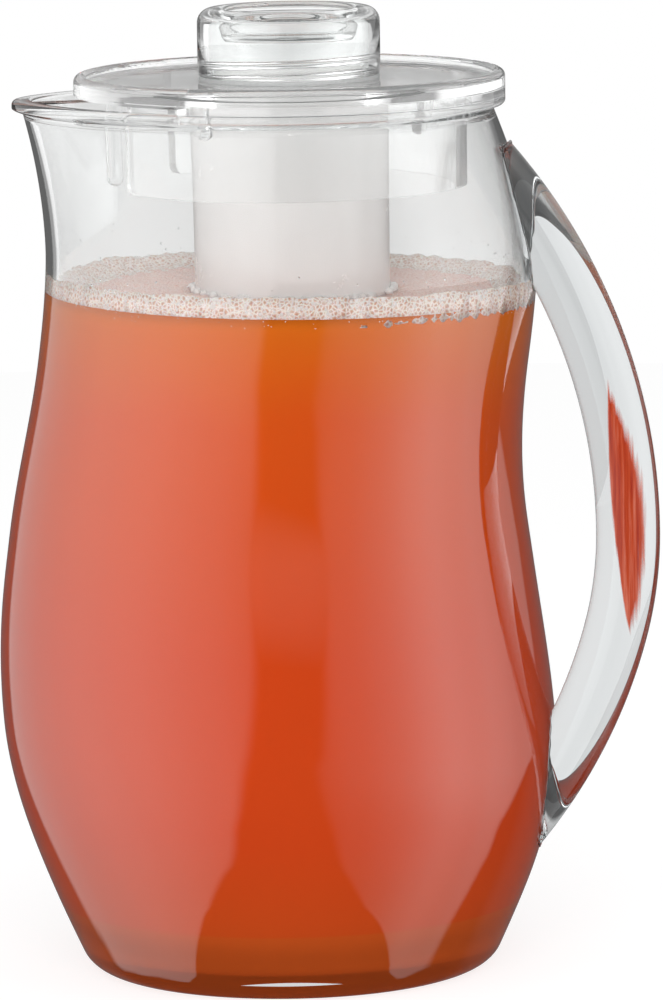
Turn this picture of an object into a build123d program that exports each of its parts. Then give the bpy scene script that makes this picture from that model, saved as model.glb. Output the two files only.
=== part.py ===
from build123d import *
import os
from math import cos, pi, radians, sin, tan

# Ice core jug, in millimetres. The Z axis is the axis of the mouth, the lid and the ice tube.
# The flat base stands on Z = 0, the spout points along -X and the handle along +X.

# Jug body
base_radius = 56.0          # foot of the body wall, before the heel is rounded
belly_radius = 76.6
belly_height = 70.0
waist_radius = 67.8
waist_height = 170.0
neck_height = 196.0         # where the wall starts to draw in to the mouth
neck_curve = 1.4            # power of the draw-in, larger keeps the neck full for longer
rim_height = 241.6
mouth_radius = 54.7         # outside of the wall at the rim, on the handle side
spout_length = 20.9         # how much further the spout's tip lies from the axis than the round of the rim
spout_spread = 73.5         # degrees each side of the spout where the rim leaves its circle
base_lean = 3.1             # how far the foot's centre lies towards the spout
belly_lean = 7.7            # the same where it is furthest
lean_start = 21.0           # heights between which the centre moves out
lean_full = 112.0
lean_return = 122.4         # heights between which it comes back to the axis
lean_end = 204.0
body_wall = 3.6
floor_thickness = 13.0
heel_radius = 5.0
inner_heel_radius = 7.0
bead_overhang = 2.0         # how far the rim's bead stands out from the wall
bead_depth = 3.5
bead_radius = 1.5
bead_foot_rise = 1.2        # height over which the bead swells out of the wall
mouth_edge_radius = 1.1
outline_step = 15           # degrees of turn between the points of a section's outline
corner_steps = 3            # steps round the heel and round the edges of the rim
wall_steps = 24             # bands of the wall between its rounded corners

# Handle
handle_radius = 8.8         # half the thickness of the bar
grip_gap = 24.7             # centre line of the grip, from the radius of the waist
grip_height = 122.0
grip_bend = 104.7           # radii of the three arcs of the bar's centre line
upper_bend = 155.0
lower_bend = 146.0
upper_sweep = 41.0          # degrees of arc
grip_sweep = 15.0
lower_sweep = 25.0

# Lid
lid_plate_gap = 2.0         # between the spout's rim and the plate above it
lid_plate = 3.6
lid_rim_rise = 1.9
lid_rim_width = 3.1
lid_edge_radius = 2.0
lid_inner_bevel = 0.8
lid_seat_overlap = 1.0      # how far the seat reaches in past the mouth's wall
lid_skirt_wall = 2.0
lid_skirt_clearance = 0.6   # between the outer skirt and the bead of the rim
lid_skirt_drop = 2.1        # how far the outer skirt hangs below the rim
lid_skirt_radius = 1.4
spout_gap_half_angle = 69.0 # degrees, the part of the outer skirt left out over the spout
inner_skirt_gap = 2.6       # between the inner skirt and the inside of the rim
inner_skirt_wall = 3.0
inner_skirt_drop = 24.1     # below the rim
pour_window_half_angle = 34.0
window_corner = 3.0
rib_count = 5               # evenly round the lid, the one at the spout being the guard
rib_radius = 2.25
rib_clearance = 0.35        # between the ribs and the inside of the rim
guard_offset = 0.7          # of the guard's centre from the outside of the inner skirt
short_rib_drop = 7.6
guard_drop = 24.9           # the guard is as long as the inner skirt and closes the middle of its window
cut_margin = 5.0            # how far a cutting shape runs past what it cuts

# Ice tube
tube_radius = 27.1
tube_taper = 0.9            # the foot of the tube is this much smaller in radius
tube_wall = 2.6
tube_floor_gap = 10.0
tube_end_radius = 7.0
tube_inner_end_radius = 5.0
tube_shoulder_radius = 1.2
neck_step = 6.2             # how much smaller in radius the neck is than the tube
neck_wall = 2.5
neck_rise = 5.2             # above the floor of the lid
neck_bevel = 0.6
neck_clearance = 0.4

# Knob and the two washers
seal_thickness = 1.0
tube_seal_inset = 2.0       # from the outside of the tube to the edge of its washer
tube_seal_clearance = 0.3
knob_seal_inset = 0.3
knob_wall = 3.0
knob_height = 18.5          # above its washer
knob_shoulder = 4.0
knob_foot_bevel = 0.5
dish_rim = 7.4              # width of the flat ring round the dish, with its rounded edges
dish_taper = 1.8            # the dish's floor is this much smaller in radius than its mouth
dish_depth = 5.5
dish_wall = 2.4
dish_floor = 2.7
dish_edge_radius = 1.5
thread_clearance = 1.2      # between the plain neck and the plain bore of the knob

# Levels and radii worked out from the sizes above
plate_bottom = rim_height + lid_plate_gap
plate_top = plate_bottom + lid_plate
lid_top = plate_top + lid_rim_rise
tube_shoulder = plate_bottom - seal_thickness
neck_top = plate_top + neck_rise
knob_foot = plate_top + seal_thickness
knob_top = knob_foot + knob_height
dish_bottom = knob_top - dish_depth
tube_foot = floor_thickness + tube_floor_gap
tube_foot_radius = tube_radius - tube_taper
neck_radius = tube_radius - neck_step
hole_radius = neck_radius + neck_clearance
knob_bore = neck_radius + thread_clearance
knob_radius = knob_bore + knob_wall
dish_radius = knob_radius - dish_rim
dish_foot_radius = dish_radius - dish_taper
spout_reach = mouth_radius + spout_length
mouth_inside = mouth_radius - body_wall
handle_reach = waist_radius + grip_gap
lid_radius = mouth_radius + bead_overhang + lid_skirt_clearance + lid_skirt_wall
inner_skirt_radius = mouth_inside - inner_skirt_gap
rib_circle = mouth_inside - rib_clearance - rib_radius
guard_circle = inner_skirt_radius + guard_offset
rib_turn = 360 / rib_count


def ease(height, low, high):
    """Smooth ramp from 0 at the low level to 1 at the high one."""
    part = min(max((height - low) / (high - low), 0.0), 1.0)
    return (1 - cos(pi * part)) / 2


def wall_radius(z):
    """Outer radius of the body's round sections, and of the handle side of the neck."""
    if z <= belly_height:
        return base_radius + (belly_radius - base_radius) * sin(pi / 2 * z / belly_height)
    if z <= neck_height:
        return belly_radius + (waist_radius - belly_radius) * ease(z, belly_height, waist_height)
    draw_in = ((z - neck_height) / (rim_height - neck_height)) ** neck_curve
    return waist_radius + (mouth_radius - waist_radius) * draw_in


def spout_stretch(z):
    """How much further the spout side of the neck reaches than its handle side."""
    if z <= neck_height:
        return 0.0
    rise = (z - neck_height) / (rim_height - neck_height)
    return waist_radius + (spout_reach - waist_radius) * rise**2 - wall_radius(z)


def lean(z):
    """How far the section's centre lies towards the spout."""
    out = base_lean + (belly_lean - base_lean) * ease(z, lean_start, lean_full)
    return out * (1 - ease(z, lean_return, lean_end))


def section_points(z, inset):
    """Outline of the body at a height, inset by a wall. Each point is where the outward
    normal has the next angle, so the points crowd into the tight nose of the spout."""
    stretch = spout_stretch(z)
    limit = cos(radians(spout_spread))
    points = []
    for angle in range(0, 360, outline_step):
        turn = radians(angle)
        swell = max(0.0, (-cos(turn) - limit) / (1 - limit))
        reach = wall_radius(z) - inset + stretch * swell**2
        slope = stretch * 2 * swell * sin(turn) / (1 - limit)
        x = reach * cos(turn) - slope * sin(turn) - lean(z)
        y = reach * sin(turn) + slope * cos(turn)
        points.append((x, y))
    return points


def corner_turns():
    """Angles of the steps round a quarter corner, its far end left out."""
    return [pi / 2 * step / corner_steps for step in range(corner_steps)]


def wall_sections(foot, heel, top):
    """Sections of the wall as level, level of the outline and inset: the rounded heel, then even bands."""
    levels = [(foot + heel * (1 - cos(turn)), heel * (1 - sin(turn))) for turn in corner_turns()]
    start = foot + heel
    levels += [(start + (top - start) * step / wall_steps, 0.0) for step in range(wall_steps + 1)]
    return [(level, level, inset) for level, inset in levels]


def edge_sections(radius, inset, way):
    """Sections of a rounded edge of the rim, that draws in (way 1) or opens out (way -1) upwards."""
    return [
        (rim_height - radius * (1 - sin(turn)), rim_height, inset + way * radius * (1 - cos(turn)))
        for turn in corner_turns() + [pi / 2]
    ]


outer_sections = wall_sections(0, heel_radius, rim_height - bead_depth)
outer_sections.append((rim_height - bead_depth + bead_foot_rise, rim_height, -bead_overhang))
outer_sections += edge_sections(bead_radius, -bead_overhang, 1)

inner_sections = wall_sections(floor_thickness, inner_heel_radius, rim_height - mouth_edge_radius)
inner_sections += edge_sections(mouth_edge_radius, 0.0, -1)[1:]

# The filled outside of the body with the bead of its rim, also used to cut the ends of the handle
with BuildPart() as body_form:
    for level, outline, inset in outer_sections:
        with BuildSketch(Plane.XY.offset(level)):
            with BuildLine():
                Spline(*section_points(outline, inset), periodic=True)
            make_face()
    loft(ruled=True)

with BuildPart() as cavity:
    for level, outline, inset in inner_sections:
        with BuildSketch(Plane.XY.offset(level)):
            with BuildLine():
                Spline(*section_points(outline, body_wall + inset), periodic=True)
            make_face()
    loft(ruled=True)

with BuildPart() as jug_body:
    add(body_form.part)
    add(cavity.part, mode=Mode.SUBTRACT)
jug_body.part.label = "jug_body"

# The handle is one round bar along three tangent arcs, its ends cut to the outside of the body
with BuildPart() as handle:
    with BuildLine(Plane.XZ) as bar_line:
        upper_centre = handle_reach - upper_bend
        grip_centre = handle_reach - grip_bend
        shift = lower_bend - grip_bend
        lower_x = grip_centre - shift * cos(radians(grip_sweep))
        lower_z = grip_height + shift * sin(radians(grip_sweep))
        CenterArc((upper_centre, grip_height), upper_bend, upper_sweep, -upper_sweep)
        CenterArc((grip_centre, grip_height), grip_bend, 0, -grip_sweep)
        CenterArc((lower_x, lower_z), lower_bend, -grip_sweep, -lower_sweep)
    with BuildSketch(Plane(bar_line.line @ 0, z_dir=bar_line.line % 0)):
        Circle(handle_radius)
    sweep(path=bar_line.line)
    add(body_form.part, mode=Mode.SUBTRACT)
handle.part.label = "handle"


def wedge(half_angle, radius):
    """Corners of a triangle that opens from the axis to past a radius on the spout's side."""
    reach = radius + cut_margin
    side = reach * tan(radians(half_angle))
    return [(0, 0), (-reach, side), (-reach, -side)]


# Outer skirt with its seat on the rim, left out over the spout
with BuildPart() as outer_skirt:
    with BuildSketch(Plane.XY.offset(rim_height - lid_skirt_drop)):
        Circle(lid_radius)
        Circle(lid_radius - lid_skirt_wall, mode=Mode.SUBTRACT)
    extrude(amount=lid_skirt_drop + lid_plate_gap)
    with BuildSketch(Plane.XY.offset(rim_height)):
        Circle(lid_radius - lid_skirt_wall)
        Circle(mouth_inside - lid_seat_overlap, mode=Mode.SUBTRACT)
    extrude(amount=lid_plate_gap)
    fillet(outer_skirt.edges().group_by(Axis.Z)[0].sort_by(SortBy.RADIUS)[-1], lid_skirt_radius)
    with BuildSketch(Plane.XY.offset(rim_height - lid_skirt_drop)):
        Polygon(*wedge(spout_gap_half_angle, lid_radius), align=None)
    extrude(amount=lid_skirt_drop + lid_plate_gap, mode=Mode.SUBTRACT)

# Inner skirt with the window that the drink pours through
with BuildPart() as inner_skirt:
    with BuildSketch(Plane.XY.offset(rim_height - inner_skirt_drop)):
        Circle(inner_skirt_radius)
        Circle(inner_skirt_radius - inner_skirt_wall, mode=Mode.SUBTRACT)
    extrude(amount=inner_skirt_drop + lid_plate_gap)
    with BuildSketch(Plane.XY.offset(rim_height - inner_skirt_drop)):
        Polygon(*wedge(pour_window_half_angle, inner_skirt_radius), align=None)
    extrude(amount=inner_skirt_drop + lid_plate_gap, mode=Mode.SUBTRACT)
    lower_corners = inner_skirt.edges().group_by(Axis.Z)[0].filter_by(GeomType.LINE)
    fillet(lower_corners, window_corner)

with BuildPart() as lid:
    with BuildSketch(Plane.XY.offset(plate_bottom)):
        Circle(lid_radius)
    extrude(amount=lid_plate + lid_rim_rise)
    with BuildSketch(Plane.XY.offset(plate_top)):
        Circle(lid_radius - lid_rim_width)
    extrude(amount=lid_rim_rise, mode=Mode.SUBTRACT)
    top_edges = lid.edges().group_by(Axis.Z)[-1].sort_by(SortBy.RADIUS)
    fillet(top_edges[-1], lid_edge_radius)
    chamfer(top_edges[0], lid_inner_bevel)
    add(outer_skirt.part)
    add(inner_skirt.part)
    with PolarLocations(rib_circle, rib_count - 1, start_angle=180 + rib_turn,
                        angular_range=360 - 2 * rib_turn, endpoint=True):
        with Locations((0, 0, plate_bottom)):
            Cylinder(rib_radius, short_rib_drop + lid_plate_gap - rib_radius,
                     align=(Align.CENTER, Align.CENTER, Align.MAX))
        with Locations((0, 0, rim_height - short_rib_drop + rib_radius)):
            Sphere(rib_radius)
    with Locations((-guard_circle, 0, plate_bottom)):
        Cylinder(rib_radius, guard_drop + lid_plate_gap - rib_radius,
                 align=(Align.CENTER, Align.CENTER, Align.MAX))
    with Locations((-guard_circle, 0, rim_height - guard_drop + rib_radius)):
        Sphere(rib_radius)
    with Locations((0, 0, plate_top)):
        Hole(hole_radius, lid_plate + cut_margin)
lid.part.label = "lid"


def ring_edge(part, radius, level):
    """The round edge of a turned part nearest to a radius and a level."""
    rings = part.edges().filter_by(GeomType.CIRCLE)
    return rings.sort_by(lambda e: abs(e.radius - radius) + abs(e.center().Z - level))[0]


with BuildPart() as ice_tube:
    with BuildSketch(Plane.XZ):
        with BuildLine():
            Polyline(
                (0, tube_foot),
                (tube_foot_radius, tube_foot),
                (tube_radius, tube_shoulder),
                (neck_radius, tube_shoulder),
                (neck_radius, neck_top),
                (neck_radius - neck_wall, neck_top),
                (neck_radius - neck_wall, tube_shoulder - tube_wall),
                (tube_radius - tube_wall, tube_shoulder - tube_wall),
                (tube_foot_radius - tube_wall, tube_foot + tube_wall),
                (0, tube_foot + tube_wall),
                close=True,
            )
        make_face()
    revolve(axis=Axis.Z)
    fillet(ring_edge(ice_tube, tube_foot_radius, tube_foot), tube_end_radius)
    fillet(ring_edge(ice_tube, tube_foot_radius - tube_wall, tube_foot + tube_wall), tube_inner_end_radius)
    fillet(ring_edge(ice_tube, tube_radius, tube_shoulder), tube_shoulder_radius)
    chamfer(ice_tube.edges().group_by(Axis.Z)[-1], neck_bevel)
ice_tube.part.label = "ice_tube"

with BuildPart() as tube_seal:
    with BuildSketch(Plane.XY.offset(tube_shoulder)):
        Circle(tube_radius - tube_seal_inset)
        Circle(neck_radius + tube_seal_clearance, mode=Mode.SUBTRACT)
    extrude(amount=seal_thickness)
tube_seal.part.label = "tube_seal"

with BuildPart() as knob_seal:
    with BuildSketch(Plane.XY.offset(plate_top)):
        Circle(knob_radius - knob_seal_inset)
        Circle(knob_bore, mode=Mode.SUBTRACT)
    extrude(amount=seal_thickness)
knob_seal.part.label = "knob_seal"

with BuildPart() as knob:
    with BuildSketch(Plane.XZ):
        with BuildLine():
            Polyline(
                (0, dish_bottom),
                (dish_foot_radius, dish_bottom),
                (dish_radius, knob_top),
                (knob_radius, knob_top),
                (knob_radius, knob_foot),
                (knob_bore, knob_foot),
                (knob_bore, knob_top - knob_wall),
                (dish_radius + dish_wall, knob_top - knob_wall),
                (dish_foot_radius + dish_wall, dish_bottom - dish_floor),
                (0, dish_bottom - dish_floor),
                close=True,
            )
        make_face()
    revolve(axis=Axis.Z)
    fillet(ring_edge(knob, knob_radius, knob_top), knob_shoulder)
    fillet(ring_edge(knob, dish_radius, knob_top), dish_edge_radius)
    chamfer(ring_edge(knob, knob_radius, knob_foot), knob_foot_bevel)
knob.part.label = "knob"

os.makedirs("parts", exist_ok=True)
for piece in (jug_body, handle, lid, ice_tube, tube_seal, knob_seal, knob):
    export_step(piece.part, f"parts/{piece.part.label}.step")
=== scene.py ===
"""Ice core jug: a clear drinks jug with an orange drink, in a white studio."""
import random
from math import cos, hypot, pi, radians, sin

import bmesh
import bpy
from mathutils import Matrix, Vector, noise


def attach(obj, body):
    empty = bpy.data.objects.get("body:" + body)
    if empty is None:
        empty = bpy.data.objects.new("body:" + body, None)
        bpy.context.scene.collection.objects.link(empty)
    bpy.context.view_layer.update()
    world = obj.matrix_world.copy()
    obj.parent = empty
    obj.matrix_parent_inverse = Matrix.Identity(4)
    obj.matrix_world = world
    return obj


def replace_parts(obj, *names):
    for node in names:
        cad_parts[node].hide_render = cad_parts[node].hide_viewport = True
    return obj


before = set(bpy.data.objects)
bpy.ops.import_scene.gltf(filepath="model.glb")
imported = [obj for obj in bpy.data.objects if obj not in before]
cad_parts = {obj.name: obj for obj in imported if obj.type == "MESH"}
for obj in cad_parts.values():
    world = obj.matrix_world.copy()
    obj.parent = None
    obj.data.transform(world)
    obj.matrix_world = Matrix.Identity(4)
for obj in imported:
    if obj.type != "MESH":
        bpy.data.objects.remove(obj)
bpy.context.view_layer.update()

dice = random.Random(8)

# Camera, worked out from the picture's perspective
VIEW_YAW = radians(9.4)         # the jug is turned this far, its handle away from the camera
VIEW_PITCH = radians(8.4)
LEAN = radians(0.9)             # the picture is rolled by this much, and the drink lies level in it
VIEW_DISTANCE = 2.0304
FOCAL_LENGTH = 175.92
SENSOR_HEIGHT = 24.0
AIM_SIDE = 0.0098               # the point looked at, to the right of the jug's axis and above its base
AIM_HEIGHT = 0.1298

# The jug's wall in metres. The floor is thinner and the inner heel rounder than in the solid, as in the
# picture; all other sizes are those of the solids.
BASE_RADIUS = 0.056
BELLY_RADIUS = 0.0766
BELLY_HEIGHT = 0.070
WAIST_RADIUS = 0.0678
WAIST_HEIGHT = 0.170
NECK_HEIGHT = 0.196
NECK_CURVE = 1.4
RIM_HEIGHT = 0.2416
MOUTH_RADIUS = 0.0547
SPOUT_REACH = 0.0756
SPOUT_SPREAD = radians(73.5)
BASE_LEAN = 0.0031
BELLY_LEAN = 0.0077
LEAN_START = 0.021
LEAN_FULL = 0.112
LEAN_RETURN = 0.1224
LEAN_END = 0.204
BODY_WALL = 0.0036
FLOOR = 0.0085
HEEL = 0.005
INNER_HEEL = 0.0115
BEAD_OVERHANG = 0.002
BEAD_DEPTH = 0.0035
BEAD_RADIUS = 0.0015
BEAD_FOOT = 0.0012
MOUTH_EDGE = 0.0011

# The handle's bar along three tangent arcs
BAR_RADIUS = 0.0088
GRIP_HEIGHT = 0.122
GRIP_REACH = WAIST_RADIUS + 0.0247
BAR_BENDS = (0.155, 0.1047, 0.146)
BAR_SWEEPS = (radians(41), radians(15), radians(25))
WELD_GAP = 0.00006

# The ice tube, its neck and the knob
PLATE_BOTTOM = 0.2436
TUBE_RADIUS = 0.0271
TUBE_TAPER = 0.0009
TUBE_WALL = 0.0026
TUBE_FOOT = 0.023
TUBE_SHOULDER = 0.2426
NECK_RADIUS = 0.0209
NECK_WALL = 0.0025
NECK_TOP = 0.2524
NECK_GROOVE = 0.0005
KNOB_FOOT = 0.2482
KNOB_TOP = 0.2667
KNOB_RADIUS = 0.0251
KNOB_BORE = 0.0221
KNOB_WALL = 0.003
KNOB_SHOULDER = 0.004
DISH_RADIUS = 0.0177
DISH_FOOT = 0.0159
DISH_DEPTH = 0.0055
DISH_WALL = 0.0024
DISH_FLOOR = 0.0027
KNOB_THREAD = 0.0068            # height of the thread in the knob's bore, over its foot
THREAD_PITCH = 0.0035
THREAD_DEPTH = 0.0008

# The painted glint of the drink in the handle's flank
GLINT_SIDE = 0.09105
GLINT_HEIGHT = 0.129
GLINT_HALF_HEIGHT = 0.0355
GLINT_LEAN = 0.00275            # its foot lies this much further out than its middle
GLINT_OUTWARDS = 0.0075
GLINT_INWARDS = 0.0019

# The drink, its foam and bubbles
DRINK_LEVEL = 0.1876            # on the axis
DRINK_WALL_TOP = DRINK_LEVEL - 0.003
CONTACT = 0.00015               # the drink reaches this far into the wall, so no air lies between
MENISCUS = ((0.0, 0.0008), (0.0006, 0.0004), (0.0016, 0.0001), (0.003, 0.0))   # (off the wall, rise)
FOAM_RISE = 0.0056
FOAM_COLLAR = 0.007             # width of the thick foam along the wall
FOAM_RAFT = 0.0021              # thickness of the foam inside the collar
FOAM_LEAST = 0.0006
THIN_FOAM_RADIUS = 0.0565
FOAM_POINTS = 480
FOAM_RINGS = 14
BUBBLE_SIZES = (0.00035, 0.0004, 0.0005, 0.0005, 0.0006, 0.0007, 0.00085)
BUBBLE_FLATNESS = 0.55
EDGE_BUBBLES = 2600
WALL_DROPLETS = 60
TUBE_BUBBLES = 90

# The studio
TABLE_RADIUS = 1.3
TABLE_LEVEL = -0.0002
LAMP_DISTANCE = 1.5
LAMP_HEIGHT = 1.4
LAMP_AIM = Vector((0, 0, 0.12))
LAMPS = (                       # name, turn from the camera, rise, width and radiance
    ("soft_box_left", -58, 0.62, 1.2, 0.85),
    ("soft_box_right", 62, 0.62, 1.2, 1.0),
    ("soft_box_over_camera", -2, 0.75, 1.0, 3.9),
)

# The two soft boxes as reflections show them. An azimuth runs from 0 on the camera's side to 1 behind
# the jug, a level from 0 straight down to 1 straight up. The inner and outer edges are azimuths by
# level, the glow is by azimuth, and the fade is by level.
LEFT_BOX = {
    "inner": ((0.09, 0.52), (0.105, 0.37), (0.12, 0.267), (0.165, 0.156), (0.26, 0.106), (0.415, 0.064),
              (0.53, 0.024)),
    "outer": ((0.09, 0.48), (0.15, 0.6), (0.2, 0.7), (0.25, 0.75), (0.36, 0.81), (0.5, 0.83)),
    "glow": ((0.0, 0.3), (0.05, 0.9), (0.11, 1.38), (0.2, 1.85), (0.3, 2.35), (0.38, 2.55), (0.44, 2.6),
             (0.5, 2.45), (0.56, 2.15), (0.63, 1.75), (0.72, 1.3), (0.83, 0.95)),
    "fade": ((0.06, 0.6), (0.17, 0.77), (0.27, 0.92), (0.4, 1.0)),
}
RIGHT_BOX = {
    "inner": ((0.09, 0.52), (0.105, 0.367), (0.12, 0.244), (0.165, 0.15), (0.27, 0.1), (0.4, 0.075),
              (0.44, 0.09), (0.55, 0.118)),
    "outer": ((0.09, 0.48), (0.15, 0.56), (0.25, 0.6), (0.32, 0.62), (0.4, 0.7), (0.44, 0.77), (0.5, 0.81)),
    "glow": ((0.08, 0.35), (0.15, 0.78), (0.2, 0.98), (0.24, 1.3), (0.29, 1.7), (0.34, 2.25), (0.39, 2.7),
             (0.43, 2.85), (0.5, 2.4), (0.57, 2.05), (0.64, 1.3), (0.73, 0.75), (0.83, 0.45)),
    "fade": ((0.06, 0.48), (0.17, 0.55), (0.3, 0.75), (0.4, 1.0)),
}

ROUND = 192                     # points round a turned or lofted surface


def ease(value, low, high):
    part = min(max((value - low) / (high - low), 0.0), 1.0)
    return (1 - cos(pi * part)) / 2


def wall_radius(z):
    if z <= BELLY_HEIGHT:
        return BASE_RADIUS + (BELLY_RADIUS - BASE_RADIUS) * sin(pi / 2 * z / BELLY_HEIGHT)
    if z <= NECK_HEIGHT:
        return BELLY_RADIUS + (WAIST_RADIUS - BELLY_RADIUS) * ease(z, BELLY_HEIGHT, WAIST_HEIGHT)
    draw_in = ((z - NECK_HEIGHT) / (RIM_HEIGHT - NECK_HEIGHT)) ** NECK_CURVE
    return WAIST_RADIUS + (MOUTH_RADIUS - WAIST_RADIUS) * draw_in


def spout_stretch(z):
    if z <= NECK_HEIGHT:
        return 0.0
    rise = (z - NECK_HEIGHT) / (RIM_HEIGHT - NECK_HEIGHT)
    return WAIST_RADIUS + (SPOUT_REACH - WAIST_RADIUS) * rise**2 - wall_radius(z)


def lean(z):
    out = BASE_LEAN + (BELLY_LEAN - BASE_LEAN) * ease(z, LEAN_START, LEAN_FULL)
    return out * (1 - ease(z, LEAN_RETURN, LEAN_END))


def wall_point(z, turn, inset):
    """Point of the wall's outline at a height, where the outward normal has the given turn."""
    stretch = spout_stretch(z)
    limit = cos(SPOUT_SPREAD)
    swell = max(0.0, (-cos(turn) - limit) / (1 - limit))
    reach = wall_radius(z) - inset + stretch * swell**2
    slope = stretch * 2 * swell * sin(turn) / (1 - limit)
    return (
        reach * cos(turn) - slope * sin(turn) - lean(z),
        reach * sin(turn) + slope * cos(turn),
    )


def wall_ring(level, outline, inset):
    """Ring at a level that follows the wall's outline at another height."""
    turns = [2 * pi * n / ROUND for n in range(ROUND)]
    return [Vector((*wall_point(outline, turn, inset), level)) for turn in turns]


def steps(low, high, count):
    return [low + (high - low) * n / count for n in range(count + 1)]


def corner(radius, count):
    """Rise and inset of the points round a rounded foot, from its flat to its wall."""
    return [(radius * (1 - cos(t)), radius * (1 - sin(t))) for t in steps(0, pi / 2, count)]


def skin(rings, closed=False):
    """Vertices and faces of rings of equal count joined one to the next, with caps if not closed."""
    count = len(rings[0])
    verts = [p for ring in rings for p in ring]
    faces = []
    last = len(rings) if closed else len(rings) - 1
    for k in range(last):
        low, high = k * count, (k + 1) % len(rings) * count
        for n in range(count):
            after = (n + 1) % count
            faces.append((low + n, low + after, high + after, high + n))
    if not closed:
        faces.append(tuple(reversed(range(count))))
        faces.append(tuple(range(len(verts) - count, len(verts))))
    return verts, faces


def piece(name, shape, body, material):
    """A smooth mesh object from vertices and faces that rides on a body."""
    mesh = bpy.data.meshes.new(name)
    mesh.from_pydata([tuple(v) for v in shape[0]], [], shape[1])
    bm = bmesh.new()
    bm.from_mesh(mesh)
    bmesh.ops.recalc_face_normals(bm, faces=bm.faces)
    bm.to_mesh(mesh)
    bm.free()
    mesh.polygons.foreach_set("use_smooth", [True] * len(mesh.polygons))
    obj = bpy.data.objects.new(name, mesh)
    bpy.context.scene.collection.objects.link(obj)
    mesh.materials.append(material)
    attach(obj, body)
    return obj


# Materials

def shader(name):
    """A new material with its nodes, links, output and Principled shader."""
    mat = bpy.data.materials.new(name)
    mat.use_nodes = True
    tree = mat.node_tree
    tree.nodes.clear()
    out = tree.nodes.new("ShaderNodeOutputMaterial")
    bsdf = tree.nodes.new("ShaderNodeBsdfPrincipled")
    tree.links.new(bsdf.outputs[0], out.inputs["Surface"])
    return mat, tree, out, bsdf


def noise_node(tree, scale, detail=4.0, roughness=0.5):
    place = tree.nodes.new("ShaderNodeTexCoord")
    node = tree.nodes.new("ShaderNodeTexNoise")
    node.inputs["Scale"].default_value = scale
    node.inputs["Detail"].default_value = detail
    node.inputs["Roughness"].default_value = roughness
    tree.links.new(place.outputs["Object"], node.inputs["Vector"])
    return node


def cell_node(tree, scale):
    """The distance from a point to the nearest edge between its cells."""
    place = tree.nodes.new("ShaderNodeTexCoord")
    node = tree.nodes.new("ShaderNodeTexVoronoi")
    node.feature = "DISTANCE_TO_EDGE"
    node.inputs["Scale"].default_value = scale
    tree.links.new(place.outputs["Object"], node.inputs["Vector"])
    return node


def ramp_node(tree, value, stops):
    """A colour ramp through (position, colour) stops."""
    node = tree.nodes.new("ShaderNodeValToRGB")
    elements = node.color_ramp.elements
    for element, (position, colour) in zip(elements, (stops[0], stops[-1])):
        element.position, element.color = position, (*colour, 1)
    for position, colour in stops[1:-1]:
        elements.new(position).color = (*colour, 1)
    tree.links.new(value, node.inputs["Fac"])
    return node


def range_node(tree, value, low, high, to_low=0.0, to_high=1.0):
    node = tree.nodes.new("ShaderNodeMapRange")
    for socket, number in zip(("From Min", "From Max", "To Min", "To Max"), (low, high, to_low, to_high)):
        node.inputs[socket].default_value = number
    tree.links.new(value, node.inputs["Value"])
    return node


def feed(tree, value, socket):
    """Links another socket's value to a socket, or sets the socket to a plain number."""
    if isinstance(value, (int, float)):
        socket.default_value = value
    else:
        tree.links.new(value, socket)


def maths(tree, kind, *values):
    node = tree.nodes.new("ShaderNodeMath")
    node.operation = kind
    for value, socket in zip(values, node.inputs):
        feed(tree, value, socket)
    return node.outputs[0]


def blend(tree, share, first, second):
    """Two shaders mixed, with the given share of the second."""
    mix = tree.nodes.new("ShaderNodeMixShader")
    feed(tree, share, mix.inputs["Fac"])
    tree.links.new(first, mix.inputs[1])
    tree.links.new(second, mix.inputs[2])
    return mix.outputs[0]


def bump_node(tree, height, strength, distance):
    node = tree.nodes.new("ShaderNodeBump")
    node.inputs["Strength"].default_value = strength
    node.inputs["Distance"].default_value = distance
    tree.links.new(height, node.inputs["Height"])
    return node


def let_lamps_through(tree, out, surface, colour):
    """Glass that lets the lamps' light through to what it holds."""
    path = tree.nodes.new("ShaderNodeLightPath")
    clear = tree.nodes.new("ShaderNodeBsdfTransparent")
    clear.inputs["Color"].default_value = (*colour, 1)
    tree.links.new(blend(tree, path.outputs["Is Shadow Ray"], surface, clear.outputs[0]), out.inputs["Surface"])


def clear_plastic(name, colour, wave=0.012, milk=0.0, shadow=0.95, ior=1.49):
    """Moulded acrylic: glossy and clear, with faint flow marks and a little handling haze."""
    mat, tree, out, bsdf = shader(name)
    bsdf.inputs["Base Color"].default_value = (*colour, 1)
    bsdf.inputs["Transmission Weight"].default_value = 1.0
    bsdf.inputs["IOR"].default_value = ior
    haze = noise_node(tree, 90, 5, 0.6)
    spread = range_node(tree, haze.outputs["Fac"], 0.45, 0.75, 0.0, 0.03)
    tree.links.new(spread.outputs[0], bsdf.inputs["Roughness"])
    flow = noise_node(tree, 34, 2)
    tree.links.new(bump_node(tree, flow.outputs["Fac"], wave, 0.002).outputs[0], bsdf.inputs["Normal"])
    surface = bsdf.outputs[0]
    if milk:
        white = tree.nodes.new("ShaderNodeBsdfTranslucent")
        white.inputs["Color"].default_value = (0.95, 0.96, 0.96, 1)
        surface = blend(tree, milk, surface, white.outputs[0])
    let_lamps_through(tree, out, surface, (shadow, shadow, shadow))
    return mat


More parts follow.
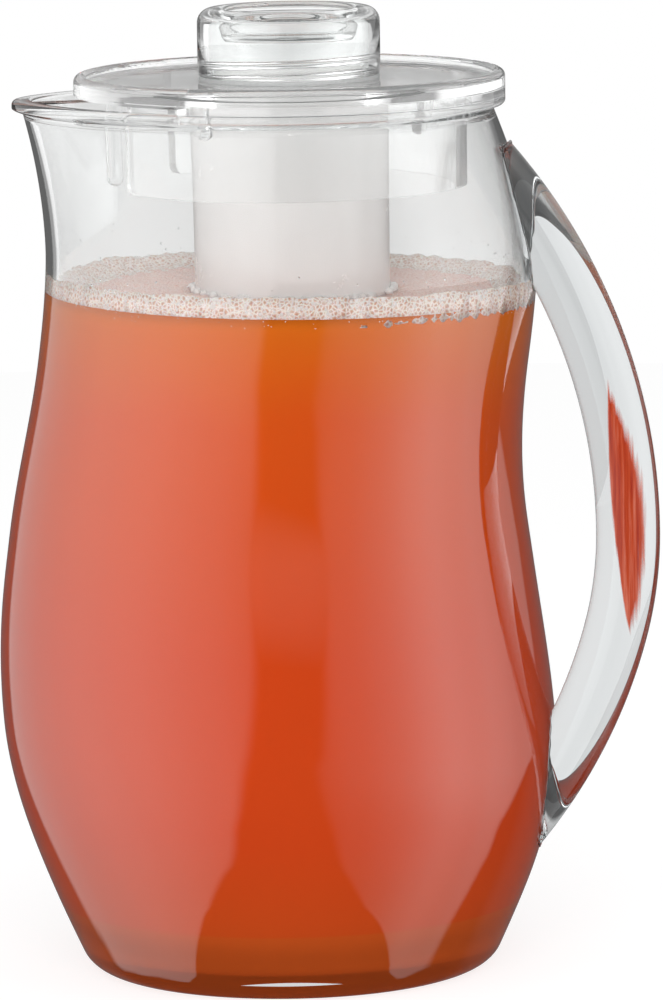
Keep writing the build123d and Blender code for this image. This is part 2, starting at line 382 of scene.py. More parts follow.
def frosted_plastic(name):
    mat, tree, out, bsdf = shader(name)
    cloud = noise_node(tree, 60, 6, 0.65)
    tint = ramp_node(tree, cloud.outputs["Fac"], ((0.3, (0.96, 0.955, 0.95)), (0.7, (0.99, 0.985, 0.98))))
    tree.links.new(tint.outputs[0], bsdf.inputs["Base Color"])
    bsdf.inputs["Transmission Weight"].default_value = 0.25
    bsdf.inputs["IOR"].default_value = 1.6
    spread = range_node(tree, cloud.outputs["Fac"], 0.3, 0.7, 0.2, 0.28)
    tree.links.new(spread.outputs[0], bsdf.inputs["Roughness"])
    grain = noise_node(tree, 2600, 3)
    tree.links.new(bump_node(tree, grain.outputs["Fac"], 0.25, 0.0002).outputs[0], bsdf.inputs["Normal"])
    let_lamps_through(tree, out, bsdf.outputs[0], (0.7, 0.7, 0.69))
    return mat


def seal_rubber(name):
    mat, tree, out, bsdf = shader(name)
    grain = noise_node(tree, 900, 4)
    tint = ramp_node(tree, grain.outputs["Fac"], ((0.3, (0.72, 0.73, 0.73)), (0.7, (0.82, 0.83, 0.83))))
    tree.links.new(tint.outputs[0], bsdf.inputs["Base Color"])
    bsdf.inputs["Roughness"].default_value = 0.42
    bsdf.inputs["Transmission Weight"].default_value = 0.45
    tree.links.new(bump_node(tree, grain.outputs["Fac"], 0.15, 0.0002).outputs[0], bsdf.inputs["Normal"])
    return mat


def drink_colour(name, gloss):
    """Cloudy orange drink, painted darker at its foot and lighter and yellower towards its top as light falls
    from above and through its surface. Against the wall it has no sheen of its own, at its surface it has.
    """
    mat, tree, out, bsdf = shader(name)
    cloud = noise_node(tree, 14, 4, 0.55)
    place = tree.nodes.new("ShaderNodeTexCoord")
    parts = tree.nodes.new("ShaderNodeSeparateXYZ")
    tree.links.new(place.outputs["Object"], parts.inputs[0])
    rise = range_node(tree, parts.outputs["Z"], 0.0, DRINK_LEVEL)
    wander = maths(tree, "MULTIPLY_ADD", cloud.outputs["Fac"], 0.16, -0.08)
    # Painted light: darker at the foot, lighter and yellower towards the top, as light falls from above and
    # through the drink's surface; the cloud adds a wander of the drink's own tone
    tint = ramp_node(
        tree, maths(tree, "ADD", rise.outputs[0], wander),
        ((0.0, (0.64, 0.092, 0.012)), (0.25, (0.68, 0.072, 0.011)), (0.5, (0.69, 0.075, 0.011)),
         (0.85, (0.72, 0.105, 0.011)), (1.0, (0.74, 0.17, 0.012))),
    )
    # Below the wall's inner heel the drink is painted darker and browner, the shade it shows when seen through
    # the thick base
    base = range_node(tree, parts.outputs["Z"], FLOOR + INNER_HEEL - 0.0006, FLOOR + INNER_HEEL)
    shade = tree.nodes.new("ShaderNodeMix")
    shade.data_type = "RGBA"
    tree.links.new(base.outputs[0], shade.inputs[0])
    shade.inputs[6].default_value = (0.63, 0.1, 0.014, 1)
    tree.links.new(tint.outputs[0], shade.inputs[7])
    tree.links.new(shade.outputs[2], bsdf.inputs["Base Color"])
    bsdf.inputs["Roughness"].default_value = 0.12 if gloss else 1.0
    bsdf.inputs["Specular IOR Level"].default_value = 0.35 if gloss else 0.0
    bsdf.inputs["IOR"].default_value = 1.34
    return mat


def foam_stuff(name, shades):
    """Fine wet foam: bubbles with pale rims, pinker in their middles."""
    mat, tree, out, bsdf = shader(name)
    cells = cell_node(tree, 900)
    tint = ramp_node(tree, cells.outputs["Distance"], list(zip((0.0, 0.12, 0.34), shades)))
    tree.links.new(tint.outputs[0], bsdf.inputs["Base Color"])
    bsdf.inputs["Roughness"].default_value = 0.35
    bsdf.inputs["Subsurface Weight"].default_value = 0.3
    bsdf.inputs["Subsurface Radius"].default_value = (0.004, 0.002, 0.001)
    bsdf.inputs["Subsurface Scale"].default_value = 1.0
    tree.links.new(bump_node(tree, cells.outputs["Distance"], 0.6, 0.0006).outputs[0], bsdf.inputs["Normal"])
    return mat


def bubble_film(name):
    mat, tree, out, bsdf = shader(name)
    thick = noise_node(tree, 700, 2)
    tint = ramp_node(tree, thick.outputs["Fac"], ((0.3, (0.97, 0.92, 0.89)), (0.7, (1.0, 0.99, 0.98))))
    tree.links.new(tint.outputs[0], bsdf.inputs["Base Color"])
    bsdf.inputs["Roughness"].default_value = 0.08
    bsdf.inputs["Transmission Weight"].default_value = 0.25
    bsdf.inputs["IOR"].default_value = 1.2
    return mat


def painted_drink_glint(name, plastic):
    """A clear plastic with a lens-shaped glint of the drink painted in orange in the flank of the handle: a
    painted reflection.
    """
    mat = plastic.copy()
    mat.name = name
    tree = mat.node_tree
    out = next(node for node in tree.nodes if node.type == "OUTPUT_MATERIAL")
    surface = out.inputs["Surface"].links[0].from_socket
    place = tree.nodes.new("ShaderNodeTexCoord")
    parts = tree.nodes.new("ShaderNodeSeparateXYZ")
    tree.links.new(place.outputs["Object"], parts.inputs[0])
    side, depth, height = parts.outputs

    # The lens of the painted glint, by the height along it and the distance from its leaning middle line
    rise = maths(tree, "DIVIDE", maths(tree, "SUBTRACT", height, GLINT_HEIGHT), GLINT_HALF_HEIGHT)
    off = maths(tree, "ADD", side, maths(tree, "MULTIPLY_ADD", rise, GLINT_LEAN, -GLINT_SIDE))
    outwards = maths(tree, "DIVIDE", off, GLINT_OUTWARDS)
    inwards = maths(tree, "DIVIDE", off, -GLINT_INWARDS)
    room = maths(tree, "SUBTRACT", maths(tree, "SUBTRACT", 1.0, maths(tree, "MULTIPLY", rise, rise)),
                 maths(tree, "MAXIMUM", outwards, inwards))

    # Streaks along the bar, which streak the painted glint's orange and also fray the lens's edge
    streaks = tree.nodes.new("ShaderNodeTexNoise")
    streaks.inputs["Scale"].default_value = 1.0
    streaks.inputs["Detail"].default_value = 3.0
    stretch = tree.nodes.new("ShaderNodeVectorMath")
    stretch.operation = "MULTIPLY"
    stretch.inputs[1].default_value = (1300, 300, 45)
    tree.links.new(place.outputs["Object"], stretch.inputs[0])
    tree.links.new(stretch.outputs[0], streaks.inputs["Vector"])
    frayed = maths(tree, "ADD", room, maths(tree, "MULTIPLY_ADD", streaks.outputs["Fac"], 0.5, -0.25))
    lens = range_node(tree, frayed, 0.0, 0.22)
    flank = range_node(tree, depth, -0.001, -0.0022)

    # The painted glint: an orange surface, partly lit through, mixed into the clear plastic inside the lens on
    # the handle's front flank
    orange = tree.nodes.new("ShaderNodeBsdfPrincipled")
    tint = ramp_node(
        tree, streaks.outputs["Fac"],
        ((0.3, (0.33, 0.026, 0.012)), (0.5, (0.47, 0.06, 0.02)), (0.74, (0.62, 0.17, 0.11))),
    )
    tree.links.new(tint.outputs[0], orange.inputs["Base Color"])
    orange.inputs["Roughness"].default_value = 0.1
    orange.inputs["Specular IOR Level"].default_value = 0.3
    lit_through = tree.nodes.new("ShaderNodeBsdfTranslucent")
    tree.links.new(tint.outputs[0], lit_through.inputs["Color"])
    painted_glint = blend(tree, 0.3, orange.outputs[0], lit_through.outputs[0])
    share = maths(tree, "MULTIPLY", lens.outputs[0], flank.outputs[0])
    tree.links.new(blend(tree, share, surface, painted_glint), out.inputs["Surface"])
    return mat


CLEAR = clear_plastic("clear_acrylic_body", (0.885, 0.892, 0.89))
CLEAR_BAR = clear_plastic("clear_acrylic_weld", (0.75, 0.77, 0.775), wave=0.02, ior=1.36)
# The handle's plastic carries the painted glint of the drink
GRIP_BAR = painted_drink_glint("clear_acrylic_handle_painted_glint", CLEAR_BAR)
CLEAR_LID = clear_plastic("clear_acrylic_lid", (0.985, 0.99, 0.99), milk=0.07, shadow=0.985)
CLEAR_KNOB = clear_plastic("clear_acrylic_knob", (0.965, 0.978, 0.975))
FROSTED = frosted_plastic("frosted_acrylic_tube")
SEAL = seal_rubber("seal_silicone")
DRINK = drink_colour("drink_at_wall", gloss=False)
DRINK_TOP = drink_colour("drink_surface", gloss=True)
FOAM = foam_stuff("foam", ((0.93, 0.88, 0.84), (0.8, 0.66, 0.59), (0.64, 0.37, 0.27)))
THIN_FOAM = foam_stuff("thin_foam", ((0.92, 0.68, 0.61), (0.84, 0.52, 0.44), (0.78, 0.38, 0.29)))
BUBBLE = bubble_film("bubble_film")


# The jug's body as one closed skin, up the outside, over the rim and down the inside

def build_body():
    rings = [wall_ring(rise, rise, inset) for rise, inset in corner(HEEL, 10)]
    bead_bottom = RIM_HEIGHT - BEAD_DEPTH
    rings += [wall_ring(z, z, 0) for z in steps(HEEL, bead_bottom, 110)[1:]]

    # The bead swells out of the wall, and rounds over to the mouth
    for part in steps(0, 1, 6)[1:]:
        level = bead_bottom + BEAD_FOOT * part
        side = wall_ring(level, level, 0)
        out = wall_ring(level, RIM_HEIGHT, -BEAD_OVERHANG)
        blend_share = sin(pi / 2 * part)
        rings.append([Vector((*p.xy.lerp(q.xy, blend_share), level)) for p, q in zip(side, out)])
    for turn in steps(0, pi / 2, 8):
        level = RIM_HEIGHT - BEAD_RADIUS * (1 - sin(turn))
        rings.append(wall_ring(level, RIM_HEIGHT, BEAD_RADIUS * (1 - cos(turn)) - BEAD_OVERHANG))
    for turn in steps(pi / 2, 0, 8):
        level = RIM_HEIGHT - MOUTH_EDGE * (1 - sin(turn))
        rings.append(wall_ring(level, RIM_HEIGHT, BODY_WALL - MOUTH_EDGE * (1 - cos(turn))))

    wall_foot = FLOOR + INNER_HEEL
    rings += [wall_ring(z, z, BODY_WALL) for z in steps(RIM_HEIGHT - MOUTH_EDGE, wall_foot, 110)[1:]]
    for rise, inset in reversed(corner(INNER_HEEL, 12)[:-1]):
        rings.append(wall_ring(FLOOR + rise, FLOOR + rise, BODY_WALL + inset))
    return piece("jug_body_skin", skin(rings), "jug", CLEAR)


# The handle's bar, whose two ends follow the wall

def bar_point(along, radius, turn):
    """Point beside the bar's centre line: along runs from 0 at the top to 1 at the foot."""
    lengths = [bend * sweep for bend, sweep in zip(BAR_BENDS, BAR_SWEEPS)]
    left = along * sum(lengths)
    x = GRIP_REACH - BAR_BENDS[1]
    shift = BAR_BENDS[2] - BAR_BENDS[1]
    centres = (
        (GRIP_REACH - BAR_BENDS[0], GRIP_HEIGHT),
        (x, GRIP_HEIGHT),
        (x - shift * cos(BAR_SWEEPS[1]), GRIP_HEIGHT + shift * sin(BAR_SWEEPS[1])),
    )
    start = BAR_SWEEPS[0]
    for bend, sweep, length, centre in zip(BAR_BENDS, BAR_SWEEPS, lengths, centres):
        if left <= length or centre is centres[-1]:
            angle = start - left / bend
            reach = bend + radius * cos(turn)
            return Vector((centre[0] + reach * cos(angle), radius * sin(turn), centre[1] + reach * sin(angle)))
        left -= length
        start -= sweep


def outside_wall(point, gap):
    return hypot(point.x + lean(point.z), point.y) > wall_radius(point.z) + gap


def wall_crossing(radius, turn, inner, outer, gap):
    """Where along the bar a line beside its centre line comes out of the wall."""
    for _ in range(24):
        middle = (inner + outer) / 2
        if outside_wall(bar_point(middle, radius, turn), gap):
            outer = middle
        else:
            inner = middle
    return outer


def build_handle():
    count, along = 96, 150
    turns = [2 * pi * n / count for n in range(count)]

    def ends(radius):
        return [
            tuple(wall_crossing(radius, turn, inner, 0.5, WELD_GAP) for inner in (0.0, 1.0))
            for turn in turns
        ]

    # Rings over both ends of the bar, which lie along the wall
    caps = [BAR_RADIUS * k / 7 for k in range(1, 7)]
    top = [[bar_point(e[0], r, t) for e, t in zip(ends(r), turns)] for r in caps]
    foot = [[bar_point(e[1], r, t) for e, t in zip(ends(r), turns)] for r in reversed(caps)]
    edge = ends(BAR_RADIUS)
    bar = [
        [bar_point(e[0] + (e[1] - e[0]) * part, BAR_RADIUS, t) for e, t in zip(edge, turns)]
        for part in steps(0, 1, along)
    ]
    obj = piece("handle_bar", skin(top + bar + foot), "jug", GRIP_BAR)
    build_weld("handle_weld_top", bar[0])
    build_weld("handle_weld_foot", bar[-1])
    return obj


def build_weld(name, line):
    """The ragged bead of welding solvent round a root of the handle."""
    bead, across, wander = 0.00042, 1.5, 0.0006
    rings = []
    for n, spot in enumerate(line):
        before, after = line[n - 1], line[(n + 1) % len(line)]
        way = (after - before).normalized()
        out = Vector((spot.x + lean(spot.z), spot.y, 0)).normalized()
        side = way.cross(out).normalized()
        thick = bead * (1 + 0.55 * noise.noise(spot * 420) + 0.35 * noise.noise(spot * 1300))
        middle = spot + side * wander * noise.noise(spot * 300 + Vector((7, 0, 0)))
        rings.append([
            middle + out * thick * cos(a) + side * thick * across * sin(a) for a in steps(0, 2 * pi, 8)[:-1]
        ])
    return piece(name, skin(rings, closed=True), "jug", CLEAR_BAR)


# Turned pieces

def lathe(profile):
    """Rings round the axis from (radius, level) points; a radius may be a function of turn and level."""
    rings = []
    for radius, level in profile:
        ring = []
        for n in range(ROUND):
            turn = 2 * pi * n / ROUND
            reach = radius(turn, level) if callable(radius) else radius
            ring.append(Vector((reach * cos(turn), reach * sin(turn), level)))
        rings.append(ring)
    return rings


def arc(centre, radius, start, end, count=8):
    return [(centre[0] + radius * cos(t), centre[1] + radius * sin(t)) for t in steps(start, end, count)]


def ridge(turn, level):
    """Height from 0 to 1 of the thread's ridge, which climbs one pitch each turn."""
    phase = (level / THREAD_PITCH - turn / (2 * pi)) % 1.0
    return max(0.0, cos(2 * pi * phase)) ** 0.6


def build_tube():
    """The closed foot, the slightly tapered side, the shoulder and the threaded neck, and the inside."""
    hub, end, inner_end, shoulder_edge, neck_edge = 0.004, 0.007, 0.005, 0.0012, 0.0006
    foot_radius = TUBE_RADIUS - TUBE_TAPER

    def threaded(turn, level):
        fade = ease(level, PLATE_BOTTOM, PLATE_BOTTOM + 0.001) * (1 - ease(level, NECK_TOP - 0.002, NECK_TOP))
        return NECK_RADIUS - NECK_GROOVE * (1 - ridge(turn, level)) * fade

    outside = [(hub, TUBE_FOOT)]
    outside += arc((foot_radius - end, TUBE_FOOT + end), end, -pi / 2, 0, 12)
    rise = TUBE_SHOULDER - shoulder_edge - TUBE_FOOT - end
    outside += [(foot_radius + TUBE_TAPER * p, TUBE_FOOT + end + rise * p) for p in steps(0, 1, 8)[1:-1]]
    outside += arc((TUBE_RADIUS - shoulder_edge, TUBE_SHOULDER - shoulder_edge), shoulder_edge, 0, pi / 2)
    outside += [(NECK_RADIUS + 0.0004, TUBE_SHOULDER)]
    outside += [(threaded, level) for level in steps(TUBE_SHOULDER + 0.0003, NECK_TOP - 0.0004, 48)]
    bore = NECK_RADIUS - NECK_WALL
    outside += [(NECK_RADIUS - neck_edge, NECK_TOP), (bore + neck_edge, NECK_TOP)]
    ceiling = TUBE_SHOULDER - TUBE_WALL
    inner = TUBE_RADIUS - TUBE_WALL
    inside = [(bore, NECK_TOP - neck_edge), (bore, ceiling), (inner, ceiling), (inner, ceiling - 0.0005)]
    low = foot_radius - TUBE_WALL
    level = TUBE_FOOT + TUBE_WALL + inner_end
    inside += [(low, level)]
    inside += arc((low - inner_end, level), inner_end, 0, -pi / 2, 10)[1:]
    inside += [(hub, TUBE_FOOT + TUBE_WALL)]
    return piece("ice_tube_skin", skin(lathe(outside + inside)), "core", FROSTED)


def build_knob():
    """The cap: its dish, its side, its threaded bore and the underside of the dish."""
    hub, dish_heel, dish_edge = 0.002, 0.0013, 0.0015

    def threaded(turn, level):
        end = KNOB_FOOT + KNOB_THREAD
        fade = ease(level, KNOB_FOOT, KNOB_FOOT + 0.001) * (1 - ease(level, end - 0.0012, end))
        return KNOB_BORE - THREAD_DEPTH * ridge(turn, level - THREAD_PITCH / 2) * fade

    dish_bottom = KNOB_TOP - DISH_DEPTH
    outside = [(hub, dish_bottom), (DISH_FOOT - 0.0015, dish_bottom)]
    outside += arc((DISH_FOOT - dish_heel, dish_bottom + dish_heel), dish_heel, -pi / 2, 0, 6)[1:]
    outside += arc((DISH_RADIUS + dish_edge, KNOB_TOP - dish_edge), dish_edge, pi, pi / 2, 8)
    shoulder = (KNOB_RADIUS - KNOB_SHOULDER, KNOB_TOP - KNOB_SHOULDER)
    outside += arc(shoulder, KNOB_SHOULDER, pi / 2, 0, 14)
    outside += [(KNOB_RADIUS, KNOB_FOOT + 0.0005), (KNOB_RADIUS - 0.0005, KNOB_FOOT)]
    inside = [(KNOB_BORE, KNOB_FOOT)]
    inside += [(threaded, level) for level in steps(KNOB_FOOT + 0.0002, KNOB_TOP - KNOB_WALL, 72)]
    inside += [
        (DISH_RADIUS + DISH_WALL, KNOB_TOP - KNOB_WALL),
        (DISH_FOOT + DISH_WALL, dish_bottom - DISH_FLOOR + 0.0008),
        (DISH_FOOT + DISH_WALL - 0.0008, dish_bottom - DISH_FLOOR),
        (hub, dish_bottom - DISH_FLOOR),
    ]
    return piece("knob_skin", skin(lathe(outside + inside)), "knob", CLEAR_KNOB)


# The drink, level in the picture, and what floats on it

def drink_level(x):
    return DRINK_LEVEL - x * sin(LEAN)


def level_ring(inset, lift):
    """Ring on the wall's inside at the drink's tilted level."""
    ring = []
    for n in range(ROUND):
        turn = 2 * pi * n / ROUND
        z = DRINK_LEVEL
        for _ in range(4):
            x, y = wall_point(z, turn, inset)
            z = drink_level(x) + lift
        ring.append(Vector((x, y, z)))
    return ring


def build_drink():
    inset = BODY_WALL - CONTACT
    rings = []
    for rise, heel in corner(INNER_HEEL, 10):
        level = FLOOR - CONTACT + rise
        rings.append(wall_ring(level, level, inset + heel))
    rings += [wall_ring(z, z, inset) for z in steps(FLOOR + INNER_HEEL, DRINK_WALL_TOP, 80)[1:]]
    rings += [level_ring(inset + off, rise) for off, rise in MENISCUS]
    obj = piece("drink", skin(rings), "jug", DRINK)
    obj.data.materials.append(DRINK_TOP)
    for face in obj.data.polygons:
        if face.normal.z > 0.7 and face.center.z > DRINK_WALL_TOP:
            face.material_index = 1
    return obj


def foam_collar(y):
    """The collar's rise at the wall, where the foam has gathered at the front."""
    return FOAM_RISE * (0.76 - 0.24 * y / WAIST_RADIUS)


def foam_height(x, y, reach):
    """The foam's height over the drink: a thick collar at the wall and a thin raft inside it."""
    collar = foam_collar(y) * (1 - ease(reach, 0.0, FOAM_COLLAR))
    patchy = 0.35 + 0.65 * abs(noise.noise(Vector((x, y, 0.3)) * 60))
    lumps = 0.0006 * noise.noise(Vector((x, y, 1.7)) * 320)
    return max(FOAM_LEAST, collar + FOAM_RAFT * patchy + lumps)


def build_foam():
    """A raft of foam between the wall and the tube, whose lower edge is ragged against the wall."""
    inset = BODY_WALL - CONTACT * 0.4
    top, under = [], []
    for n in range(FOAM_RINGS + 1):
        depth = (n / FOAM_RINGS) ** 1.6
        ring, low = [], []
        for k in range(FOAM_POINTS):
            turn = 2 * pi * k / FOAM_POINTS
            x, y = wall_point(DRINK_LEVEL, turn, inset)
            span = hypot(x, y) - TUBE_RADIUS - 0.0006
            reach = span * depth
            pull = reach / hypot(x, y)
            x, y = x * (1 - pull), y * (1 - pull)
            level = drink_level(x) + foam_height(x, y, reach)
            spot = wall_point(level, turn, inset) if n == 0 else (x, y)
            ring.append(Vector((*spot, level)))
            dip = 0.0015 * (0.4 + noise.noise(Vector((x, y, 0)) * 620)) * (1 - ease(reach, 0, 0.004))
            low.append(Vector((x, y, drink_level(x) - FOAM_LEAST - dip)))
        top.append(ring)
        under.append(low)
    obj = piece("foam_raft", skin(top + list(reversed(under)), closed=True), "jug", FOAM)
    obj.data.materials.append(THIN_FOAM)
    for face in obj.data.polygons:
        x, y, z = face.center
        wander = 0.0015 * noise.noise(Vector((x, y, 0)) * 300)
        if hypot(x, y) < THIN_FOAM_RADIUS + wander and z > drink_level(x):
            face.material_index = 1
    return obj


def unit_ball():
    bm = bmesh.new()
    bmesh.ops.create_icosphere(bm, subdivisions=2, radius=1)
    ball = [v.co.copy() for v in bm.verts], [tuple(v.index for v in f.verts) for f in bm.faces]
    bm.free()
    return ball


def balls_piece(name, body, material, spots):
    """Many small balls as one piece. One that faces a wall is flattened towards it."""
    points, triangles = unit_ball()
    verts, faces = [], []
    for spot, radius, facing in spots:
        first = len(verts)
        for p in points:
            offset = p * radius
            if facing:
                offset -= facing * (offset.dot(facing) * (1 - BUBBLE_FLATNESS))
            verts.append(spot + offset)
        faces += [tuple(first + n for n in face) for face in triangles]
    return piece(name, (verts, faces), body, material)


def wall_spot(turn, level, inset):
    """A place on the wall's inside and the direction in which the wall faces out."""
    x, y = wall_point(level, turn, inset)
    return Vector((x, y, level)), Vector((cos(turn), sin(turn), 0))


def build_bubbles():
    """Bubbles pressed against the wall along the foam, droplets above it and bubbles round the tube."""
    edge, droplets, ring = [], [], []
    for _ in range(EDGE_BUBBLES):
        turn = dice.uniform(0, 2 * pi)
        radius = dice.choice(BUBBLE_SIZES)
        x, y = wall_point(DRINK_LEVEL, turn, BODY_WALL)
        low = dice.random() < 0.4
        lift = dice.uniform(-0.0017, 0.0004) if low else dice.uniform(0.0002, foam_collar(y) + 0.0006)
        spot, facing = wall_spot(turn, drink_level(x) + lift, BODY_WALL + radius * 0.35)
        edge.append((spot, radius, facing))
    for _ in range(WALL_DROPLETS):
        turn = dice.uniform(0, 2 * pi)
        radius = dice.uniform(0.00015, 0.0004)
        lift = FOAM_RISE + 0.0005 + abs(dice.gauss(0, 0.004))
        spot, facing = wall_spot(turn, DRINK_LEVEL + lift, BODY_WALL + radius * 0.2)
        droplets.append((spot, radius, facing))
    for _ in range(TUBE_BUBBLES):
        turn = dice.uniform(0, 2 * pi)
        radius = dice.uniform(0.0005, 0.0013)
        reach = TUBE_RADIUS + radius * 0.7
        x, y = reach * cos(turn), reach * sin(turn)
        ring.append((Vector((x, y, drink_level(x) + 0.0014)), radius, None))
    balls_piece("foam_bubbles", "jug", BUBBLE, edge)
    balls_piece("wall_droplets", "jug", CLEAR, droplets)
    balls_piece("tube_bubbles", "jug", BUBBLE, ring)


def dress_frame():
    """Replaces the plain solids of the jug, handle, tube and knob, and gives the others their finish."""
    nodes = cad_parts
    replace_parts(build_body(), "jug_body")
    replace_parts(build_handle(), "handle")
    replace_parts(build_tube(), "ice_tube")
    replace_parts(build_knob(), "knob")
    for name, material in (("lid", CLEAR_LID), ("tube_seal", SEAL), ("knob_seal", SEAL)):
        for slot in nodes[name].material_slots:
            slot.material = material


# The studio

def direction_parts(tree, vector):
    """Side, depth and height of a direction or place, with depth away from the camera's side."""
    turn = tree.nodes.new("ShaderNodeVectorRotate")
    turn.rotation_type = "Z_AXIS"
    turn.inputs["Angle"].default_value = -VIEW_YAW
    tree.links.new(vector, turn.inputs["Vector"])
    parts = tree.nodes.new("ShaderNodeSeparateXYZ")
    tree.links.new(turn.outputs[0], parts.inputs[0])
    return parts.outputs


def curve(tree, value, stops):
    """A value that follows a smooth line through (position, height) stops."""
    top = max(height for _place, height in stops)
    ramp = ramp_node(tree, value, [(place, (height / top,) * 3) for place, height in stops])
    ramp.color_ramp.interpolation = "CARDINAL"
    return maths(tree, "MULTIPLY", ramp.outputs[0], top)


def soft_step(tree, value, low, high):
    node = range_node(tree, value, low, high)
    node.interpolation_type = "SMOOTHSTEP"
    return node.outputs[0]


def build_soft_boxes(tree, azimuth, level):
    """The light of both soft boxes in a reflection's direction."""
    boxes = []
    for sign, box in ((-1.0, LEFT_BOX), (1.0, RIGHT_BOX)):
        way = maths(tree, "MULTIPLY", azimuth, sign)
        inner = curve(tree, level, box["inner"])
        outer = curve(tree, level, box["outer"])
        glow = maths(tree, "MULTIPLY", curve(tree, way, box["glow"]), curve(tree, level, box["fade"]))
        past = soft_step(tree, maths(tree, "SUBTRACT", way, inner), -0.008, 0.03)
        before = soft_step(tree, maths(tree, "SUBTRACT", outer, way), -0.012, 0.012)
        boxes.append(maths(tree, "MULTIPLY", maths(tree, "MULTIPLY", past, before), glow))
    return maths(tree, "ADD", *boxes)


def build_world():
    """White for the camera, a room for light, two soft boxes with a gap between them for reflections."""
    world = bpy.data.worlds.new("studio")
    bpy.context.scene.world = world
    world.use_nodes = True
    tree = world.node_tree
    tree.nodes.clear()
    out = tree.nodes.new("ShaderNodeOutputWorld")
    place = tree.nodes.new("ShaderNodeTexCoord")
    side, depth, height = direction_parts(tree, place.outputs["Generated"])
    fall = maths(tree, "MULTIPLY", height, -1.0)
    ahead = maths(tree, "MULTIPLY", depth, -1.0)
    azimuth = maths(tree, "DIVIDE", maths(tree, "ARCTAN2", side, ahead), pi)
    level = maths(tree, "MULTIPLY_ADD", height, 0.5, 0.5)

    # The boxes end over the table and under the ceiling
    top_end = soft_step(tree, fall, -0.86, -0.74)
    low_end = soft_step(tree, height, -0.835, -0.79)
    ends = maths(tree, "MULTIPLY", top_end, low_end)
    boxes = maths(tree, "MULTIPLY", build_soft_boxes(tree, azimuth, level), ends)
    gloss = maths(tree, "ADD", boxes, 0.05)

    # What is seen through the clear walls: the boxes, and white behind with a dark gap beside it
    behind = maths(tree, "MAXIMUM", soft_step(tree, azimuth, 0.62, 0.74),
                   soft_step(tree, maths(tree, "MULTIPLY", azimuth, -1.0), 0.66, 0.78))
    above = soft_step(tree, height, -0.75, -0.5)
    below = soft_step(tree, fall, -0.62, -0.4)
    near_level = maths(tree, "MULTIPLY", above, below)
    backdrop = maths(tree, "MULTIPLY", maths(tree, "MULTIPLY", behind, near_level), 0.83)
    overhead = maths(tree, "MULTIPLY", soft_step(tree, height, 0.25, 0.55), 0.72)
    through = maths(tree, "MAXIMUM", maths(tree, "MAXIMUM", backdrop, overhead),
                    maths(tree, "MULTIPLY_ADD", gloss, 0.42, 0.24))

    # What is mirrored: the boxes, and a ceiling for the lid and the drink's surface
    ceiling = maths(tree, "MULTIPLY", soft_step(tree, height, 0.03, 0.13), 0.72)
    mirrored = maths(tree, "MAXIMUM", maths(tree, "MAXIMUM", gloss, ceiling),
                     maths(tree, "MULTIPLY", backdrop, 0.16))
    fill = maths(tree, "MULTIPLY_ADD", soft_step(tree, height, -0.3, 0.6), 0.22, 0.38)

    path = tree.nodes.new("ShaderNodeLightPath")
    strength = fill
    for chosen, value in (
        (path.outputs["Is Transmission Ray"], through),
        (maths(tree, "MINIMUM", path.outputs["Glossy Depth"], 1.0), mirrored),
        (maths(tree, "MINIMUM", path.outputs["Diffuse Depth"], 1.0), fill),
        (path.outputs["Is Camera Ray"], 1.0),
    ):
        pick = tree.nodes.new("ShaderNodeMix")
        for given, number in ((chosen, 0), (strength, 2), (value, 3)):
            feed(tree, given, pick.inputs[number])
        strength = pick.outputs[0]
    light = tree.nodes.new("ShaderNodeBackground")
    light.inputs["Color"].default_value = (1, 1, 1, 1)
    tree.links.new(strength, light.inputs["Strength"])
    tree.links.new(light.outputs[0], out.inputs["Surface"])


def build_floor():
    """A white table whose shadow stays: part of its white is its own for the camera and for what is
    seen through the clear pieces. In a reflection it is dim, as in the picture."""
    mat = bpy.data.materials.new("white_table")
    mat.use_nodes = True
    tree = mat.node_tree
    tree.nodes.clear()
    out = tree.nodes.new("ShaderNodeOutputMaterial")
    path = tree.nodes.new("ShaderNodeLightPath")
    paints = []
    for whiteness in (0.8, 0.36, 0.12):
        paint = tree.nodes.new("ShaderNodeBsdfDiffuse")
        paint.inputs["Color"].default_value = (whiteness, whiteness, whiteness, 1)
        paints.append(paint.outputs[0])
    glow = tree.nodes.new("ShaderNodeEmission")
    glow.inputs["Color"].default_value = (0.74, 0.74, 0.74, 1)
    lit, shaded, dim = paints
    both = tree.nodes.new("ShaderNodeAddShader")
    tree.links.new(shaded, both.inputs[0])
    tree.links.new(glow.outputs[0], both.inputs[1])
    seen = maths(tree, "MAXIMUM", path.outputs["Is Camera Ray"], path.outputs["Is Transmission Ray"])
    mirrored = maths(tree, "MINIMUM", path.outputs["Glossy Depth"], 1.0)
    surface = blend(tree, mirrored, blend(tree, seen, lit, both.outputs[0]), dim)
    tree.links.new(surface, out.inputs["Surface"])
    mesh = bpy.data.meshes.new("table")
    turns = [2 * pi * n / 96 for n in range(96)]
    ring = [(TABLE_RADIUS * cos(turn), TABLE_RADIUS * sin(turn), TABLE_LEVEL) for turn in turns]
    mesh.from_pydata(ring, [], [tuple(range(len(ring)))])
    mesh.materials.append(mat)
    floor = bpy.data.objects.new("table", mesh)
    bpy.context.scene.collection.objects.link(floor)
    floor.visible_glossy = False


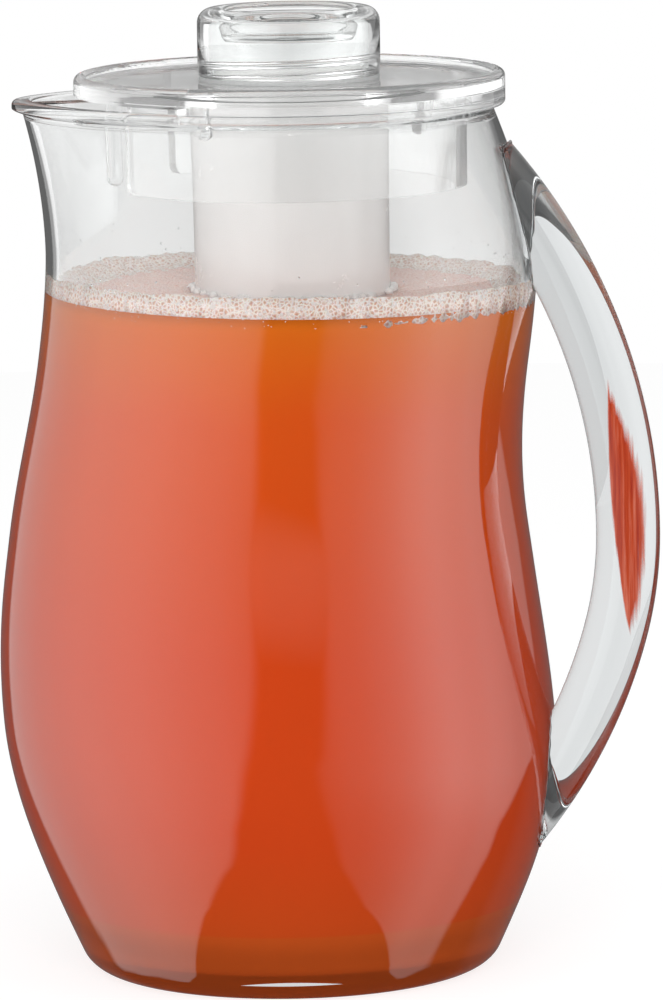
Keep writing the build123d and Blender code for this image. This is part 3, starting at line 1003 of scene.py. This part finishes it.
def build_lamps():
    """Area lamps round the camera's side that only light the scene, and are mirrored nowhere."""
    for name, turn, rise, width, radiance in LAMPS:
        light = bpy.data.lights.new(name, "AREA")
        light.shape = "RECTANGLE"
        light.size, light.size_y = width, LAMP_HEIGHT
        light.energy = radiance * pi * width * LAMP_HEIGHT
        obj = bpy.data.objects.new(name, light)
        bpy.context.scene.collection.objects.link(obj)
        angle = radians(turn) + VIEW_YAW - pi / 2
        obj.location = (LAMP_DISTANCE * cos(angle), LAMP_DISTANCE * sin(angle), rise)
        obj.rotation_mode = "QUATERNION"
        obj.rotation_quaternion = (LAMP_AIM - obj.location).to_track_quat("-Z", "Y")
        obj.visible_camera = False
        obj.visible_glossy = False
        obj.visible_transmission = False


def build_camera():
    right = Vector((cos(VIEW_YAW), sin(VIEW_YAW), 0))
    ahead = Vector((-sin(VIEW_YAW), cos(VIEW_YAW), 0))
    up = Vector((0, 0, 1))
    forward = ahead * cos(VIEW_PITCH) - up * sin(VIEW_PITCH)
    over = ahead * sin(VIEW_PITCH) + up * cos(VIEW_PITCH)
    x_axis = right * cos(LEAN) - over * sin(LEAN)
    y_axis = right * sin(LEAN) + over * cos(LEAN)
    data = bpy.data.cameras.new("camera")
    data.sensor_fit = "VERTICAL"
    data.sensor_height = SENSOR_HEIGHT
    data.lens = FOCAL_LENGTH
    data.clip_end = 50
    data.dof.use_dof = False
    cam = bpy.data.objects.new("camera", data)
    bpy.context.scene.collection.objects.link(cam)
    aim = right * AIM_SIDE + up * AIM_HEIGHT
    cam.matrix_world = Matrix((
        (x_axis.x, y_axis.x, -forward.x, 0),
        (x_axis.y, y_axis.y, -forward.y, 0),
        (x_axis.z, y_axis.z, -forward.z, 0),
        (0, 0, 0, 1),
    ))
    cam.location = aim - forward * VIEW_DISTANCE
    bpy.context.scene.camera = cam


dress_frame()
build_drink()
build_foam()
build_bubbles()
build_world()
build_floor()
build_lamps()
build_camera()

scene = bpy.context.scene
scene.view_settings.view_transform = "Standard"
scene.cycles.max_bounces = 28
scene.cycles.transmission_bounces = 26
scene.cycles.glossy_bounces = 10
scene.cycles.transparent_max_bounces = 32
scene.cycles.caustics_reflective = True
scene.cycles.caustics_refractive = True
